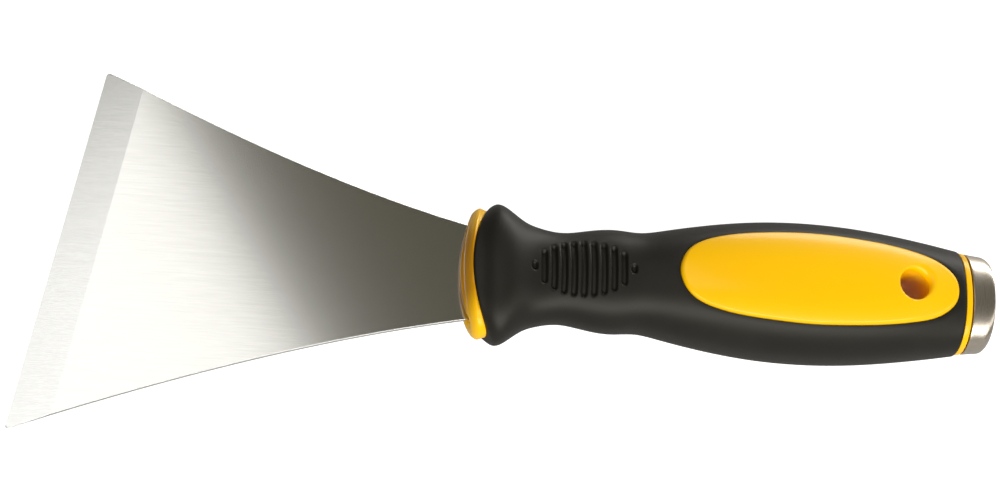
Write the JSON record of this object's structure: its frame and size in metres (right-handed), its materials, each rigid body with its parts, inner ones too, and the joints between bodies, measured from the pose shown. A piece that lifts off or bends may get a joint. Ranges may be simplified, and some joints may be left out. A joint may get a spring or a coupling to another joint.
{
  "type": "drywall taping knife",
  "caption": "Taping knife with a flared, skewed steel blade, a through tang, a soft waisted grip with hard inlays, a hang hole and a steel strike cap.",
  "frame": {"origin": "centre of the hang hole, on the blade's mid-plane", "axes": "+X along the tool from the working edge towards the strike cap, +Y across the blade, +Z normal to the blade out of the face with the ground bevel"},
  "size_m": [0.2535, 0.0973, 0.0316],
  "materials": {
    "blade_steel": "fine satin grinding lines along the tool, brighter ground bevel",
    "yellow_plastic": "golden yellow moulded hard plastic, semi-gloss",
    "grip_rubber": "warm black moulded elastomer with a fine matt texture",
    "cap_steel": "brushed round the rim",
    "rivet_steel": "plain drawn wire"
  },
  "bodies": {
    "root": {"blade": "blade_steel", "front_collar": "yellow_plastic", "core_upper_half": "yellow_plastic", "core_lower_half": "yellow_plastic", "upper_inlay": "yellow_plastic", "lower_inlay": "yellow_plastic", "grip_sleeve": "grip_rubber", "rear_ring": "yellow_plastic", "strike_cap": "cap_steel", "tang_rivets": "rivet_steel", "cap_rivet": "rivet_steel"}
  },
  "joints": []
}
